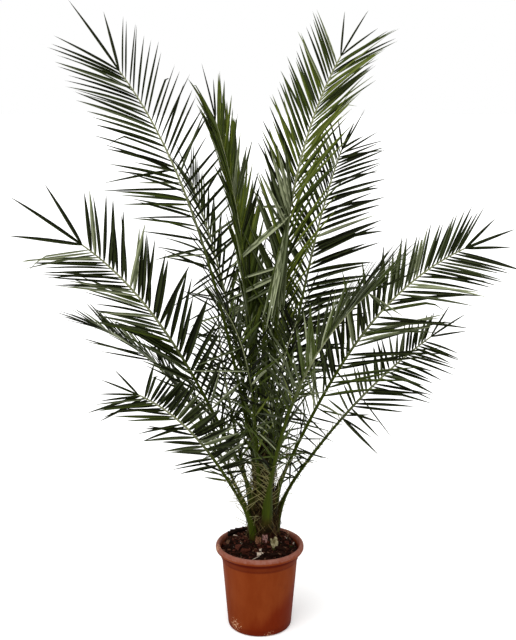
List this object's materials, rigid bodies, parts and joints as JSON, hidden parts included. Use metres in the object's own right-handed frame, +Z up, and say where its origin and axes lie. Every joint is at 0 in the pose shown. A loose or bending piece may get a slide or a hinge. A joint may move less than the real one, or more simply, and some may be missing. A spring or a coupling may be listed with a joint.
{
  "type": "potted date palm",
  "caption": "Young potted date palm: arching feather fronds on a short fibrous trunk, standing in a tapered terracotta-coloured plastic pot filled with soil.",
  "frame": {"origin": "centre of the pot's flat underside", "axes": "+Z up along the trunk, +X to the right and +Y to the back as the plant is seen from the front"},
  "size_m": [1.3451, 1.1061, 1.8055],
  "materials": {
    "pot": "terracotta-coloured plastic, slightly scuffed",
    "soil": "damp potting soil with bark chips",
    "trunk": "brown leaf-base fibre",
    "young_leaf": "folded young leaf",
    "frond": "leathery palm leaf"
  },
  "bodies": {
    "root": {"pot": "pot", "soil": "soil", "trunk": "trunk", "spear_leaf": "young_leaf", "frond_left_tall": "frond", "frond_right_tall": "frond", "frond_centre_upright": "frond", "frond_back_right_tall": "frond", "frond_right_wide": "frond", "frond_left_wide": "frond", "frond_right_low": "frond", "frond_left_low": "frond", "frond_left_middle": "frond", "frond_front_right": "frond", "frond_front": "frond", "frond_front_left": "frond", "frond_back_left_tall": "frond", "frond_back": "frond", "frond_back_right_low": "frond", "frond_back_left_low": "frond"}
  },
  "joints": []
}
